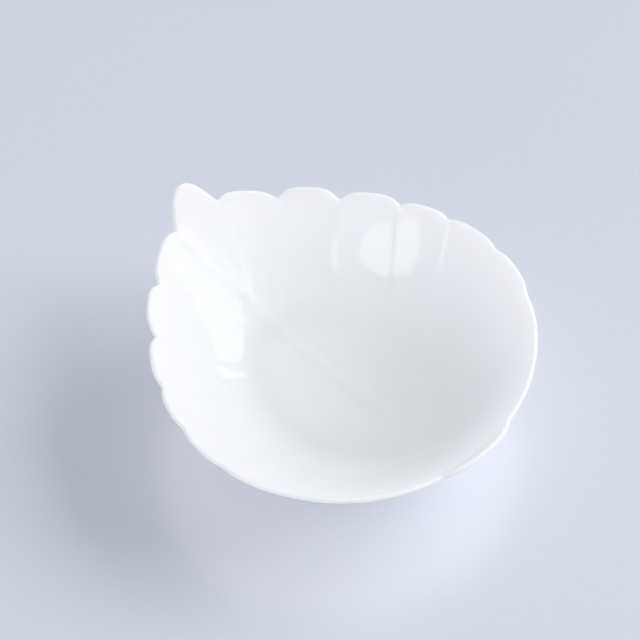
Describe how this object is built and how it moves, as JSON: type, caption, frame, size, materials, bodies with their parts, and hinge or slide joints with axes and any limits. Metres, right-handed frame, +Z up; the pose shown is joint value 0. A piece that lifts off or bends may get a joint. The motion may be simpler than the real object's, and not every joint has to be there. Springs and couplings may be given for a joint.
{
  "type": "glass leaf dish",
  "caption": "Deep leaf-shaped dish of white opal glass with a scalloped rim, a raised pointed tip, a midrib and branching veins in relief inside, and a tall oval foot ring.",
  "frame": {"origin": "middle of the bounding box in plan, on the plane of the foot ring", "axes": "+Y towards the pointed tip of the leaf, +X towards its right half seen from above, +Z up out of the bowl"},
  "size_m": [0.1538, 0.1658, 0.063],
  "materials": {
    "opal_glass": "glossy white opal"
  },
  "bodies": {
    "root": {"leaf_bowl": "opal_glass"}
  },
  "joints": []
}
